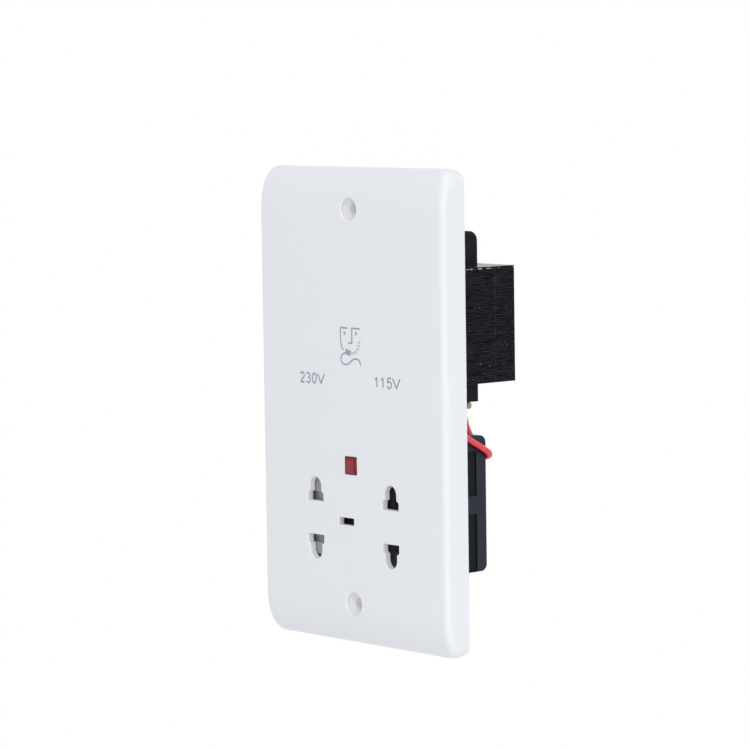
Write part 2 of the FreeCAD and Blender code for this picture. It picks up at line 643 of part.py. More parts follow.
def contact_level(up):
    """Z of the middle of a contact, above or below the outlet's middle."""
    return OUTLET_Z + up * (BLADE_INNER + CONTACT_W / 2)


def contact_clip(column, up):
    """A strip bent like a tulip: two leaves open at the mouth, close to a grip and meet at a flat back."""
    mouth_y = CONTACT_REAR - CONTACT_DEPTH
    grip_y = mouth_y + CONTACT_DEPTH * 0.25
    knee_y = CONTACT_REAR - CONTACT_DEPTH * 0.2
    outer = [(CONTACT_MOUTH, mouth_y), (CONTACT_GRIP, grip_y), (CONTACT_BACK, knee_y)]
    outer.append((CONTACT_BACK, CONTACT_REAR))
    inner = [(x - CONTACT_T, y) for x, y in outer[:-1]]
    inner.append((CONTACT_BACK - CONTACT_T, CONTACT_REAR - CONTACT_T))
    right = outer + [(x, y) for x, y in reversed(outer_mirror(outer))]
    ring = right + outer_mirror(inner) + list(reversed(inner))
    z = contact_level(up) - CONTACT_W / 2
    points = [V(column + x, y, z) for x, y in ring]
    return Part.Face(Part.makePolygon(points + points[:1])).extrude(V(0, 0, CONTACT_W))


def outer_mirror(points):
    """The points mirrored about X = 0."""
    return [(-x, y) for x, y in points]


def make_contact_common():
    """The lower contacts of both columns on one bar."""
    z = contact_level(-1)
    bar_z = (z - COMMON_BAR_W / 2, z + COMMON_BAR_W / 2)
    bar = block(COLUMNS, (CONTACT_REAR - CONTACT_T, CONTACT_REAR), bar_z)
    return bar.fuse([contact_clip(column, -1) for column in COLUMNS]).removeSplitter()


def make_terminal(name):
    """A brass block with a blind wire bore from above and a screw hole from the rear."""
    centre, clamp, _ = terminal_places()[name]
    xs = (centre - TERMINAL_W / 2, centre + TERMINAL_W / 2)
    body = block(xs, (TERMINAL_FRONT, TERMINAL_REAR), (SHELF_TOP, TERMINAL_TOP))
    bottom = SHELF_TOP + RIB_T
    bore = rod(V(clamp, wire_bore_y(), bottom), AXIS_Z, TERMINAL_TOP - bottom, WIRE_BORE_D)
    hole = boss(clamp, CLAMP_Z, (wire_bore_y(), TERMINAL_REAR), CLAMP_SCREW[2] + FIT_CLEAR)
    return body.cut([bore, hole])


def make_terminal_screws():
    """The three clamp screws."""
    seat = TERMINAL_REAR + 2 * FIT_CLEAR
    length = seat - wire_bore_y()
    return [screw(clamp, CLAMP_Z, seat, CLAMP_SCREW, length) for _, clamp, _ in terminal_places().values()]


def make_housing_screws():
    """The four screws through the base's ears into the plate."""
    seat = BASE_FRONT + EAR_T
    return [screw(x, z, seat, SELF_TAPPER, EAR_T + SCREW_BITE - FIT_CLEAR) for x, z in housing_ear_places()]


def make_cover_screws():
    """The two screws through the cover into the base's posts."""
    length = COVER_WALL + 2 * SCREW_BITE - FIT_CLEAR
    return [screw(side * POST_X, OUTLET_Z, BOX_REAR, SELF_TAPPER, length) for side in (-1, 1)]


def make_transformer_screws():
    """The four screws through the caps' ears into the plate."""
    seat = CORE_FRONT + EAR_T
    return [screw(x, z, seat, SELF_TAPPER, EAR_T + SCREW_BITE - FIT_CLEAR) for x, z in cap_ear_places()]


def make_core_e_stack():
    """The E laminations: a yoke at the front, two legs and a tongue that reach back."""
    half = 3 * LAM_LEG_W
    stack = block((-half, half), (CORE_FRONT, JOINT_Y), (CORE_BOTTOM, CORE_TOP))
    windows = []
    for side in (-1, 1):
        limits = (side * LAM_LEG_W, side * 2 * LAM_LEG_W)
        windows.append(block((min(limits), max(limits)), (WINDOW_FRONT, JOINT_Y), (CORE_BOTTOM, CORE_TOP)))
    return stack.cut(windows)


def make_core_i_stack():
    """The I laminations, which close the core at the rear."""
    half = 3 * LAM_LEG_W
    return block((-half, half), (JOINT_Y, CORE_REAR), (CORE_BOTTOM, CORE_TOP))


def coil_ring(xs, ys, zs, thickness):
    """A square tube along Y whose inside has the given limits."""
    outside = block((xs[0] - thickness, xs[1] + thickness), ys, (zs[0] - thickness, zs[1] + thickness))
    return outside.cut(block(xs, ys, zs))


def tube_limits():
    """The limits in X and Z of the bobbin tube's inside, which slides over the tongue."""
    half = LAM_LEG_W + CORE_CLEAR
    return (-half, half), (CORE_BOTTOM - CORE_CLEAR, CORE_TOP + CORE_CLEAR)


def bobbin_middle():
    """Y of the bobbin's middle flange, which parts the two windings."""
    return (BOBBIN_FRONT + BOBBIN_REAR) / 2


def make_coil_bobbin():
    """A tube over the tongue with a flange at each end and one between the windings."""
    xs, zs = tube_limits()
    bobbin = coil_ring(xs, (BOBBIN_FRONT, BOBBIN_REAR), zs, BOBBIN_WALL)
    out_x = CAP_HALF_W - CAP_WALL - CORE_CLEAR
    out_z = (CAP_FLOOR + CAP_WALL + CORE_CLEAR, CAP_CEILING - CAP_WALL - CORE_CLEAR)
    starts = (BOBBIN_FRONT, bobbin_middle() - BOBBIN_WALL / 2, BOBBIN_REAR - BOBBIN_WALL)
    flanges = []
    for start in starts:
        ys = (start, start + BOBBIN_WALL)
        flanges.append(block((-out_x, out_x), ys, out_z).cut(block(xs, ys, zs)))
    return bobbin.fuse(flanges).removeSplitter()


def make_winding(front, rear):
    """A winding on the bobbin between two flanges, with rounded corners."""
    (x0, x1), (z0, z1) = tube_limits()
    gap = BOBBIN_WALL + FIT_CLEAR
    xs, zs = (x0 - gap, x1 + gap), (z0 - gap, z1 + gap)
    ring = coil_ring(xs, (front + FIT_CLEAR, rear - FIT_CLEAR), zs, COIL_BUILD)
    out_x, out_z = xs[1] + COIL_BUILD, (zs[0] - COIL_BUILD, zs[1] + COIL_BUILD)
    corners = [edge for edge in edges_along(ring, AXIS_Y) if abs(edge.BoundBox.XMax) > out_x - TINY]
    corners = [edge for edge in corners if min(abs(edge.BoundBox.ZMin - z) for z in out_z) < TINY]
    return ring.makeFillet(COIL_BUILD * 0.6, corners)


def make_primary_winding():
    """The mains winding, in the bobbin's front chamber."""
    return make_winding(BOBBIN_FRONT + BOBBIN_WALL, bobbin_middle() - BOBBIN_WALL / 2)


def make_secondary_winding():
    """The tapped outlet winding, in the bobbin's rear chamber."""
    return make_winding(bobbin_middle() + BOBBIN_WALL / 2, BOBBIN_REAR - BOBBIN_WALL)


def cap_ears(zs):
    """The ears of a coil cap, with their screw holes, for the cap between two levels."""
    ears, holes = [], []
    for x, z in cap_ear_places():
        if not zs[0] < z < zs[1]:
            continue
        side = math.copysign(1, x)
        limits = (side * (CAP_HALF_W - CAP_WALL), side * (CAP_EAR_X + CAP_EAR_W / 2 + CAP_WALL))
        xs = (min(limits), max(limits))
        ears.append(block(xs, (CORE_FRONT, CORE_FRONT + EAR_T), (z - CAP_EAR_W / 2, z + CAP_EAR_W / 2)))
        holes.append(boss(x, z, (CORE_FRONT, CORE_FRONT + EAR_T), SELF_TAPPER[2] + 4 * FIT_CLEAR))
    return ears, holes


def make_coil_cover_upper():
    """The cap over the coil's upper end, with a well rounded rear edge."""
    half = CAP_HALF_W
    rear = JOINT_Y + CAP_OVERHANG
    zs = (CORE_TOP, CAP_CEILING)
    cap = block((-half, half), (CORE_FRONT, rear), zs)
    cap = cap.makeFillet(CAP_TOP_R, edges_inside(cap, (-half, half), (rear, rear), (zs[1], zs[1])))
    sides = [edge for edge in edges_along(cap, AXIS_Y) if edge.BoundBox.ZMin > zs[1] - TINY]
    cap = cap.makeFillet(CAP_SIDE_R, sides)
    inside = half - CAP_WALL
    hollow = block((-inside, inside), (CORE_FRONT + CAP_WALL, rear - CAP_WALL), (zs[0], zs[1] - CAP_WALL))
    ears, holes = cap_ears(zs)
    return cap.fuse(ears).cut([hollow] + holes).removeSplitter()


def cap_exits():
    """X and Y of the lead holes in the lower cap, by lead."""
    mains_y = CAP_REAR - CAP_WALL - 2.6 * LEAD_D
    outlet_y = (WINDOW_FRONT + mains_y) / 2
    exits = {"live": (LEAD_EXIT_X, mains_y), "neutral": (-LEAD_EXIT_X, mains_y)}
    exits.update({"115v": (LEAD_EXIT_X, outlet_y), "230v": (-LEAD_EXIT_X, outlet_y)})
    exits["common"] = (-LEAD_EXIT_X * 0.4, mains_y)
    return exits


def make_coil_cover_lower():
    """The cap under the coil's lower end, with holes for the leads and the fuse's wires."""
    half = CAP_HALF_W
    zs = (CAP_FLOOR, CORE_BOTTOM)
    cap = block((-half, half), (CORE_FRONT, CAP_REAR), zs)
    inside = half - CAP_WALL
    hollow = block((-inside, inside), (CORE_FRONT + CAP_WALL, CAP_REAR - CAP_WALL), (zs[0] + CAP_WALL, zs[1]))
    ears, cuts = cap_ears(zs)
    floor = (zs[0], zs[0] + CAP_WALL)
    for x, y in cap_exits().values():
        cuts.append(rod(V(x, y, floor[0]), AXIS_Z, CAP_WALL, LEAD_D + 2 * FIT_CLEAR))
    for x, y in fuse_wire_places():
        cuts.append(rod(V(x, y, floor[0]), AXIS_Z, CAP_WALL, FUSE_WIRE_D + 2 * FIT_CLEAR))
    return cap.fuse(ears).cut([hollow] + cuts).removeSplitter()


def fuse_wire_places():
    """X and Y of the fuse's two wires where they go up into the cap, off its left end."""
    x = FUSE_X - FUSE_L / 2 - 2 * FUSE_WIRE_D
    return [(x, FUSE_Y + side * FUSE_WIRE_D) for side in (-1, 1)]


def make_thermal_fuse():
    """A thermal fuse along X: a ceramic body with both wires at its left end, which turn up into the cap."""
    left = FUSE_X - FUSE_L / 2
    body = rod(V(left, FUSE_Y, FUSE_Z), AXIS_X, FUSE_L, FUSE_D)
    ends = [edge for edge in body.Edges if edge.BoundBox.XLength < TINY]
    body = body.makeChamfer(FUSE_D * 0.2, ends)
    top = CAP_FLOOR + CAP_WALL / 2
    wires = []
    for x, y in fuse_wire_places():
        route = [V(x, y, top), V(x, y, FUSE_Z), V(left + FUSE_WIRE_D, y, FUSE_Z)]
        wires.append(wire_along(route, FUSE_WIRE_D))
    return body.fuse(wires)


def bend_radius(before, corner, after):
    """The radius of the largest arc that a corner's two runs leave room for, and its tangent length."""
    incoming, outgoing = corner - before, after - corner
    turn = incoming.getAngle(outgoing)
    tangent = 0.45 * min(incoming.Length, outgoing.Length)
    return tangent / math.tan(turn / 2), tangent


def route_edges(points):
    """Straight runs joined by tangent arcs through a list of points."""
    edges = []
    start = points[0]
    for before, corner, after in zip(points, points[1:], points[2:]):
        radius, tangent = bend_radius(before, corner, after)
        into = (before - corner).normalize()
        out = (after - corner).normalize()
        first, last = corner + into * tangent, corner + out * tangent
        middle_way = (into + out).normalize()
        centre_distance = math.hypot(radius, tangent)
        middle = corner + middle_way * (centre_distance - radius)
        edges.append(Part.LineSegment(start, first).toShape())
        edges.append(Part.Arc(first, middle, last).toShape())
        start = last
    edges.append(Part.LineSegment(start, points[-1]).toShape())
    return edges


def wire_along(points, diameter):
    """A round wire along a route."""
    edges = route_edges(points)
    heading = points[1] - points[0]
    circle = Part.Wire(Part.makeCircle(diameter / 2, points[0], heading))
    tube = Part.Wire(edges).makePipeShell([circle], True, False)
    length = sum(edge.Length for edge in edges)
    expected = math.pi * diameter ** 2 / 4 * length
    radii = [bend_radius(*three)[0] for three in zip(points, points[1:], points[2:])]
    print("wire", round(length, 1), "volume ratio", round(tube.Volume / expected, 4),
          "radii", [round(radius, 1) for radius in radii])
    return tube


def mirrored(points):
    """Points mirrored from right to left."""
    return [V(-point.x, point.y, point.z) for point in points]


def lamp_lead_places():
    """X where the lamp's two leads pass back to the terminals."""
    return (-TERMINAL_X, resistor_start() + 2 * LAMP_WIRE_L + RESISTOR_L + 3 * LAMP_LEAD_D)


def make_lamp_lead(start_x, turn_x):
    """A thin lead from the lamp's circuit along X and back to a terminal's front."""
    route = [V(start_x, LAMP_Y, LENS_Z), V(turn_x, LAMP_Y, LENS_Z), V(turn_x, TERMINAL_FRONT, LENS_Z)]
    return wire_along(route, LAMP_LEAD_D)


def live_route():
    """The live lead: from the lower cap down behind the contact box to its terminal."""
    x, y = cap_exits()["live"]
    _, _, hole_x = terminal_places()["live"]
    behind = BOX_REAR + 0.75 * LEAD_D
    out = BOX_REAR + 1.8 * LEAD_D
    return [
        V(x, y, CAP_FLOOR + CAP_WALL / 2),
        V(x, y, CAP_FLOOR - 0.85 * LEAD_D),
        V(hole_x + 0.5 * LEAD_D, behind, BOX_TOP - 0.2 * LEAD_D),
        V(hole_x + 0.55 * LEAD_D, out, BOX_TOP - 1.7 * LEAD_D),
        V(hole_x, out, CLAMP_Z),
        V(hole_x, TERMINAL_REAR, CLAMP_Z),
    ]


def outlet_route():
    """The 115 V lead: out over the contact box's top, down its side, round its rear edge and in there."""
    x, y = cap_exits()["115v"]
    hole_x, hole_z = lead_holes()[3]
    side = BOX_W / 2
    behind = BOX_REAR + 0.6 * LEAD_D
    out = BOX_REAR + 1.7 * LEAD_D
    return [
        V(x, y, CAP_FLOOR + CAP_WALL / 2),
        V(x, y, CAP_FLOOR - 1.1 * LEAD_D),
        V(side - 0.9 * LEAD_D, BOX_REAR - 6 * LEAD_D, BOX_TOP + 2.5 * LEAD_D),
        V(side + 0.7 * LEAD_D, BOX_REAR - 5.4 * LEAD_D, BOX_TOP + 0.2 * LEAD_D),
        V(side + 0.65 * LEAD_D, BOX_REAR - 1.5 * LEAD_D, BOX_TOP - 1.9 * LEAD_D),
        V(side + 0.65 * LEAD_D, behind, BOX_TOP - 3.25 * LEAD_D),
        V(side - 1.8 * LEAD_D, behind, BOX_TOP - 3.8 * LEAD_D),
        V(hole_x + 0.15 * LEAD_D, BOX_REAR + 1.2 * LEAD_D, BOX_TOP - 5.9 * LEAD_D),
        V(hole_x, out, hole_z),
        V(hole_x, CONTACT_REAR, hole_z),
    ]


def common_route():
    """The common lead: down the rear of the contact box to the lower contacts' bar."""
    x, y = cap_exits()["common"]
    hole_x, hole_z = lead_holes()[4]
    behind = BOX_REAR + LEAD_D
    out = BOX_REAR + 1.7 * LEAD_D
    drop = (BOX_TOP - hole_z) / 3
    return [
        V(x, y, CAP_FLOOR + CAP_WALL / 2),
        V(x, y, CAP_FLOOR - 1.1 * LEAD_D),
        V(x - 0.15 * LEAD_D, behind, BOX_TOP + 0.25 * LEAD_D),
        V(x + 0.1 * LEAD_D, behind, BOX_TOP - drop),
        V(x * 0.5, behind + 0.25 * LEAD_D, BOX_TOP - 2 * drop),
        V(hole_x, out, hole_z),
        V(hole_x, CONTACT_REAR, hole_z),
    ]


def make_lead_sleeve():
    """A sleeve over the joint on the live lead's slanting run."""
    _, first, last = live_route()[:3]
    run = last - first
    start = first + run * SLEEVE_SPAN[0]
    length = run.Length * (SLEEVE_SPAN[1] - SLEEVE_SPAN[0])
    bore = LEAD_D + FIT_CLEAR
    return rod(start, run, length, bore + 2 * SLEEVE_T).cut(rod(start, run, length, bore))


def make_parts():
    """Every node's solid or group of solids, by name."""
    lamp_left, lamp_right = lamp_lead_places()
    lamp_end = LAMP_L / 2 + LAMP_WIRE_L
    resistor_end = resistor_start() + 2 * LAMP_WIRE_L + RESISTOR_L
    return {
        "front_plate": make_front_plate(),
        "pilot_lens": make_pilot_lens(),
        "pilot_lamp": make_pilot_lamp(),
        "lamp_resistor": make_lamp_resistor(),
        "lamp_lead_neutral": make_lamp_lead(-lamp_end, lamp_left),
        "lamp_lead_live": make_lamp_lead(resistor_end, lamp_right),
        "interlock_shutter": make_interlock_shutter(),
        "contact_base": make_contact_base(),
        "contact_cover": make_contact_cover(),
        "contact_230v": contact_clip(COLUMNS[0], 1),
        "contact_115v": contact_clip(COLUMNS[1], 1),
        "contact_common": make_contact_common(),
        "terminal_live": make_terminal("live"),
        "terminal_neutral": make_terminal("neutral"),
        "terminal_earth": make_terminal("earth"),
        "terminal_screws": Part.makeCompound(make_terminal_screws()),
        "housing_screws": Part.makeCompound(make_housing_screws()),
        "cover_screws": Part.makeCompound(make_cover_screws()),
        "core_e_stack": make_core_e_stack(),
        "core_i_stack": make_core_i_stack(),
        "coil_bobbin": make_coil_bobbin(),
        "primary_winding": make_primary_winding(),
        "secondary_winding": make_secondary_winding(),
        "coil_cover_upper": make_coil_cover_upper(),
        "coil_cover_lower": make_coil_cover_lower(),
        "transformer_screws": Part.makeCompound(make_transformer_screws()),
        "thermal_fuse": make_thermal_fuse(),
        "lead_live": wire_along(live_route(), LEAD_D),
        "lead_sleeve": make_lead_sleeve(),
        "lead_neutral": wire_along(mirrored(live_route()), LEAD_D),
        "lead_115v": wire_along(outlet_route(), LEAD_D),
        "lead_230v": wire_along(mirrored(outlet_route()), LEAD_D),
        "lead_common": wire_along(common_route(), LEAD_D),
    }


os.makedirs("parts", exist_ok=True)
for name, shape in make_parts().items():
    print(name, "solids", len(shape.Solids), "valid", shape.isValid(), "volume", round(shape.Volume, 1))
    shape.exportStep("parts/" + name + ".step")
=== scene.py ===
import json
import math

import bpy
import numpy as np
from mathutils import Matrix, Vector


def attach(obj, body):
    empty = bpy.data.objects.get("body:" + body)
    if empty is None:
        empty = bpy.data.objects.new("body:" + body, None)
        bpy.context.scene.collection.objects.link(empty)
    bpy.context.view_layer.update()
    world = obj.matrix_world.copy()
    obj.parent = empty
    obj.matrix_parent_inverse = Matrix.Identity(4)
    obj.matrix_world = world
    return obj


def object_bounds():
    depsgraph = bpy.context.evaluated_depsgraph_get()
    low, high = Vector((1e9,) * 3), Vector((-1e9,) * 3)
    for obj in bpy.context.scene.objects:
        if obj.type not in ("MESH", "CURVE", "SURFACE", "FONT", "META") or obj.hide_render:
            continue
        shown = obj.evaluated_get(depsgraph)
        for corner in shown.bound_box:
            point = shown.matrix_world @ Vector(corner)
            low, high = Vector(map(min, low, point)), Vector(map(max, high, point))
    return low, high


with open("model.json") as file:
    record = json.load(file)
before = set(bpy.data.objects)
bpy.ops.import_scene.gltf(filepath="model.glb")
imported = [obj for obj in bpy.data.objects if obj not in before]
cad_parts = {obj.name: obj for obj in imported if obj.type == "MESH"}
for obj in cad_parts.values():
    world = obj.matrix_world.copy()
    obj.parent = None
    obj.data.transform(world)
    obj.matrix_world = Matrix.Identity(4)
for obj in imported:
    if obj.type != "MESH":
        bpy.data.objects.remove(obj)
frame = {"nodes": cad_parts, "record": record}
cad_low, cad_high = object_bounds()

# Lengths are in metres. X is to the right of someone who faces the plate, Y runs into the wall and Z is up.
MM = 0.001
# The plate's face and wall, its fixing holes with their seats, and the reach of its other openings
PLATE_FRONT = -8.8 * MM
PLATE_T = 2.15 * MM
HOLE_Z = 60.3 * MM
HOLE_REACH = 2.6 * MM
SEAT_REACH = 5.0 * MM
SEAT_DEPTH = 2.5 * MM
RECESS_REACH = (38.0 * MM, 64.8 * MM)
RECESS_START = (PLATE_FRONT + 0.2 * MM, PLATE_FRONT + 0.6 * MM)
# The front of the contact base, made paler by painted light
PAINTED_LIGHT_REACH = (-3.0 * MM, 3.0 * MM)
# The lens's four sides
LENS_LEFT = -3.1 * MM
LENS_RIGHT = 2.4 * MM
LENS_TOP = -15.0 * MM
LENS_FOOT = -20.4 * MM
# The transformer's sheets, the joint between them, the burrs under its top edge and its wire
SHEET = 0.5 * MM
CORE_TOP = 42.1 * MM
CORE_JOINT = 29.1 * MM
JOINT_REACH = (0.08 * MM, 0.22 * MM)
BURR_LEVELS = [CORE_TOP - drop * MM for drop in (0.75, 0.6, 0.45, 0.25)]
WIRE_PITCH = 0.18 * MM
# Depths of bumps
GRAIN_DEPTH = 0.02 * MM
STREAK_DEPTH = 0.01 * MM
RIDGE_DEPTH = 0.08 * MM

# Shader node helpers


def add_node(tree, kind, **values):
    """A node of that kind. Values are settings, or inputs with the spaces in their names as underscores."""
    node = tree.nodes.new(kind)
    for name, value in values.items():
        socket = name.replace("_", " ")
        if socket in node.inputs:
            put(tree, value, node.inputs[socket])
        else:
            setattr(node, name, value)
    return node


def put(tree, value, socket):
    """Links an output into a socket, or sets the socket's own value."""
    if isinstance(value, bpy.types.NodeSocket):
        tree.links.new(value, socket)
    else:
        socket.default_value = value


def set_inputs(tree, node, **values):
    """Puts values into a node's input sockets, with the spaces in their names as underscores."""
    for name, value in values.items():
        put(tree, value, node.inputs[name.replace("_", " ")])
    return node


def maths(tree, operation, first, second=0.0):
    """A Math node's result."""
    node = tree.nodes.new("ShaderNodeMath")
    node.operation = operation
    put(tree, first, node.inputs[0])
    put(tree, second, node.inputs[1])
    return node.outputs[0]


def product(tree, first, *others):
    """All the values multiplied."""
    for other in others:
        first = maths(tree, "MULTIPLY", first, other)
    return first


def larger(tree, first, second):
    """The larger of two values."""
    return maths(tree, "MAXIMUM", first, second)


def ramp(tree, value, low, high, start=0.0, end=1.0):
    """A value eased from start at low to end at high."""
    node = add_node(tree, "ShaderNodeMapRange", interpolation_type="SMOOTHSTEP")
    for socket, item in zip(node.inputs, (value, low, high, start, end)):
        put(tree, item, socket)
    return node.outputs[0]


def fade(tree, value, low, high):
    """A mask eased from 1 at low to 0 at high."""
    return ramp(tree, value, low, high, 1.0, 0.0)


def band(tree, value, start, full, last, end):
    """A mask that rises from start to full and falls from last to end."""
    return product(tree, ramp(tree, value, start, full), fade(tree, value, last, end))


def blend_colour(tree, mask, first, second):
    """The first colour where the mask is 0 and the second where it is 1. A plain colour is three numbers."""
    node = tree.nodes.new("ShaderNodeMix")
    node.data_type = "RGBA"
    put(tree, mask, node.inputs[0])
    for colour, socket in ((first, node.inputs[6]), (second, node.inputs[7])):
        put(tree, colour if isinstance(colour, bpy.types.NodeSocket) else (*colour, 1.0), socket)
    return node.outputs[2]


def noise(tree, place, scale, detail=2.0, roughness=0.5):
    """A noise texture's value at a place."""
    node = add_node(tree, "ShaderNodeTexNoise", Vector=place, Scale=scale, Detail=detail, Roughness=roughness)
    return node.outputs[0]


def new_group(name, inputs, outputs):
    """An empty shader node group with float sockets, and its input and output nodes."""
    group = bpy.data.node_groups.new(name, "ShaderNodeTree")
    for socket, value in inputs.items():
        made = group.interface.new_socket(socket, in_out="INPUT", socket_type="NodeSocketFloat")
        made.default_value = value
    for socket in outputs:
        group.interface.new_socket(socket, in_out="OUTPUT", socket_type="NodeSocketFloat")
    return group, group.nodes.new("NodeGroupInput"), group.nodes.new("NodeGroupOutput")


def use_group(tree, group, **values):
    """A group placed in a material with its own values."""
    node = tree.nodes.new("ShaderNodeGroup")
    node.node_tree = group
    return set_inputs(tree, node, **values)


def object_place(tree):
    """Object coordinates."""
    return tree.nodes.new("ShaderNodeTexCoord").outputs["Object"]


def object_axes(tree):
    """The X, Y and Z of Object coordinates."""
    return add_node(tree, "ShaderNodeSeparateXYZ", Vector=object_place(tree)).outputs[:]


def stretched_place(tree, scale, turn=(0.0, 0.0, 0.0)):
    """Object coordinates scaled along each axis and turned."""
    node = add_node(tree, "ShaderNodeMapping", Vector=object_place(tree), Scale=scale, Rotation=turn)
    return node.outputs[0]


# Effects that materials share


def moulding_grain():
    """Group: fine pits left by a mould's surface (Height) and broad soft clouds in the pigment (Tone)."""
    group, given, result = new_group("moulding_grain", {"Grain": 9000.0, "Cloud": 60.0}, ("Height", "Tone"))
    place = object_place(group)
    pits = noise(group, place, given.outputs["Grain"], 3.0, 0.6)
    clouds = noise(group, place, given.outputs["Cloud"], 2.0, 0.45)
    set_inputs(group, result, Height=pits, Tone=clouds)
    return group


def handling_marks():
    """Group: faint smears where fingers and cloths have passed, long in X and short in Z (Smear)."""
    group, given, result = new_group("handling_marks", {"Scale": 70.0}, ("Smear",))
    place = stretched_place(group, (0.45, 1.0, 1.3), (0.0, 0.5, 0.0))
    cloud = noise(group, place, given.outputs["Scale"], 4.0, 0.62)
    set_inputs(group, result, Smear=ramp(group, cloud, 0.45, 0.75))
    return group


def sheet_edges():
    """Group: the edges of stacked sheets. Height is a rounded edge for each sheet, Highlight a thin broken
    line of painted highlight along its crest and Shade a random tone for each sheet."""
    group, given, result = new_group("sheet_edges", {"Sheet": SHEET}, ("Height", "Line", "Shade"))
    wave = maths(group, "SUBTRACT", noise(group, object_place(group), 420.0, 3.0, 0.6), 0.5)
    level = maths(group, "ADD", object_axes(group)[2], product(group, wave, 0.7 * SHEET))
    count = maths(group, "DIVIDE", level, given.outputs["Sheet"])
    from_middle = maths(group, "ABSOLUTE", maths(group, "SUBTRACT", maths(group, "FRACT", count), 0.5))
    sheet = maths(group, "FLOOR", count)
    shade = add_node(group, "ShaderNodeTexWhiteNoise", noise_dimensions="1D", W=sheet).outputs[0]
    breaks = ramp(group, noise(group, stretched_place(group, (1.0, 0.35, 2.2)), 700.0, 2.0, 0.6), 0.3, 0.6)
    # Painted highlight: a thin broken light line along the crest of each sheet.
    line = product(group, fade(group, from_middle, 0.04, 0.2), breaks, ramp(group, shade, 0.0, 1.0, 0.6, 1.0))
    set_inputs(group, result, Height=fade(group, from_middle, 0.2, 0.5), Line=line, Shade=shade)
    return group


GRAIN = moulding_grain()
MARKS = handling_marks()
SHEETS = sheet_edges()

# Finishes


def new_material(name, **values):
    """A material with a Principled shader whose plain values are set on its own sockets."""
    material = bpy.data.materials.new(name)
    material.use_nodes = True
    tree = material.node_tree
    tree.nodes.clear()
    shader = add_node(tree, "ShaderNodeBsdfPrincipled", **values)
    add_node(tree, "ShaderNodeOutputMaterial", Surface=shader.outputs[0])
    return material, tree, shader


def give_bump(tree, shader, height, strength, distance):
    """Bumps the shader's normal by a height."""
    bump = add_node(tree, "ShaderNodeBump", Height=height, Strength=strength, Distance=distance)
    set_inputs(tree, shader, Normal=bump.outputs[0])


def moulded(name, colour, other, roughness, bump, grain=9000.0, smear=0.04, **values):
    """Moulded plastic: two close pigments in clouds, mould grain as bump, and smears in the gloss."""
    material, tree, shader = new_material(name, **values)
    surface = use_group(tree, GRAIN, Grain=grain)
    marks = use_group(tree, MARKS)
    set_inputs(
        tree, shader,
        Base_Color=blend_colour(tree, surface.outputs["Tone"], colour, other),
        Roughness=ramp(tree, marks.outputs["Smear"], 0.0, 1.0, roughness, roughness + smear),
    )
    give_bump(tree, shader, surface.outputs["Height"], bump, GRAIN_DEPTH)
    return material


def metal(name, colour, other, roughness, stretch=(1.0, 1.0, 1.0)):
    """Bare metal: fine drawn streaks in its gloss and a little tarnish in its colour."""
    material, tree, shader = new_material(name, Metallic=1.0)
    streak = noise(tree, stretched_place(tree, stretch), 2500.0, 3.0, 0.6)
    tarnish = use_group(tree, GRAIN, Grain=5000.0, Cloud=220.0)
    set_inputs(
        tree, shader,
        Base_Color=blend_colour(tree, tarnish.outputs["Tone"], colour, other),
        Roughness=ramp(tree, streak, 0.3, 0.7, roughness - 0.08, roughness + 0.1),
    )
    give_bump(tree, shader, streak, 0.15, STREAK_DEPTH)
    return material


def varnished_core():
    """Black varnish over sheet edges: broken lines of painted highlight along the sheets' crests, bare
    specks, burrs just under the top edge, a faint dotted line where the E and I sheets meet, and a patchy
    gloss on the top sheet."""
    material, tree, shader = new_material("varnished_core", Specular_IOR_Level=0.05, Coat_Roughness=0.22)
    sheets = use_group(tree, SHEETS)
    place = object_place(tree)
    along, level = object_axes(tree)[1:]
    dark = blend_colour(tree, sheets.outputs["Shade"], (0.0025, 0.003, 0.0045), (0.0045, 0.005, 0.007))
    # The light lines along the sheets are painted highlight on their crests.
    dark = blend_colour(tree, sheets.outputs["Line"], dark, (0.055, 0.059, 0.07))
    patches = ramp(tree, noise(tree, place, 140.0, 1.0), 0.5, 0.62)
    specks = product(tree, ramp(tree, noise(tree, place, 1400.0, 1.0), 0.73, 0.77), patches)
    from_joint = maths(tree, "ABSOLUTE", maths(tree, "SUBTRACT", along, CORE_JOINT))
    dots = ramp(tree, noise(tree, place, 2600.0, 1.0), 0.5, 0.62, 0.0, 0.18)
    seam = product(tree, fade(tree, from_joint, *JOINT_REACH), dots)
    bare = blend_colour(tree, larger(tree, specks, seam), dark, (0.26, 0.27, 0.28))
    breaks = ramp(tree, noise(tree, place, 520.0, 2.0), 0.48, 0.6)
    burrs = product(tree, band(tree, level, *BURR_LEVELS), breaks)
    top_sheet = ramp(tree, level, CORE_TOP - 0.06 * MM, CORE_TOP - 0.03 * MM)
    gloss = ramp(tree, noise(tree, place, 420.0, 2.0), 0.44, 0.56, 0.7, 1.0)
    set_inputs(
        tree, shader,
        Base_Color=blend_colour(tree, burrs, bare, (0.45, 0.46, 0.47)),
        Roughness=ramp(tree, sheets.outputs["Shade"], 0.0, 1.0, 0.5, 0.7),
        Coat_Weight=product(tree, top_sheet, gloss),
    )
    give_bump(tree, shader, sheets.outputs["Height"], 0.5, RIDGE_DEPTH)
    return material


def wound_wire():
    """Enamelled wire wound in layers: fine ridges along Y with a warm varnish."""
    material, tree, shader = new_material("wound_wire", Metallic=0.6)
    turns = maths(tree, "PINGPONG", maths(tree, "DIVIDE", object_axes(tree)[1], WIRE_PITCH), 1.0)
    tone = noise(tree, object_place(tree), 300.0, 3.0)
    set_inputs(
        tree, shader,
        Base_Color=blend_colour(tree, tone, (0.36, 0.11, 0.04), (0.6, 0.25, 0.1)),
        Roughness=ramp(tree, tone, 0.3, 0.7, 0.25, 0.4),
    )
    give_bump(tree, shader, turns, 0.8, RIDGE_DEPTH)
    return material


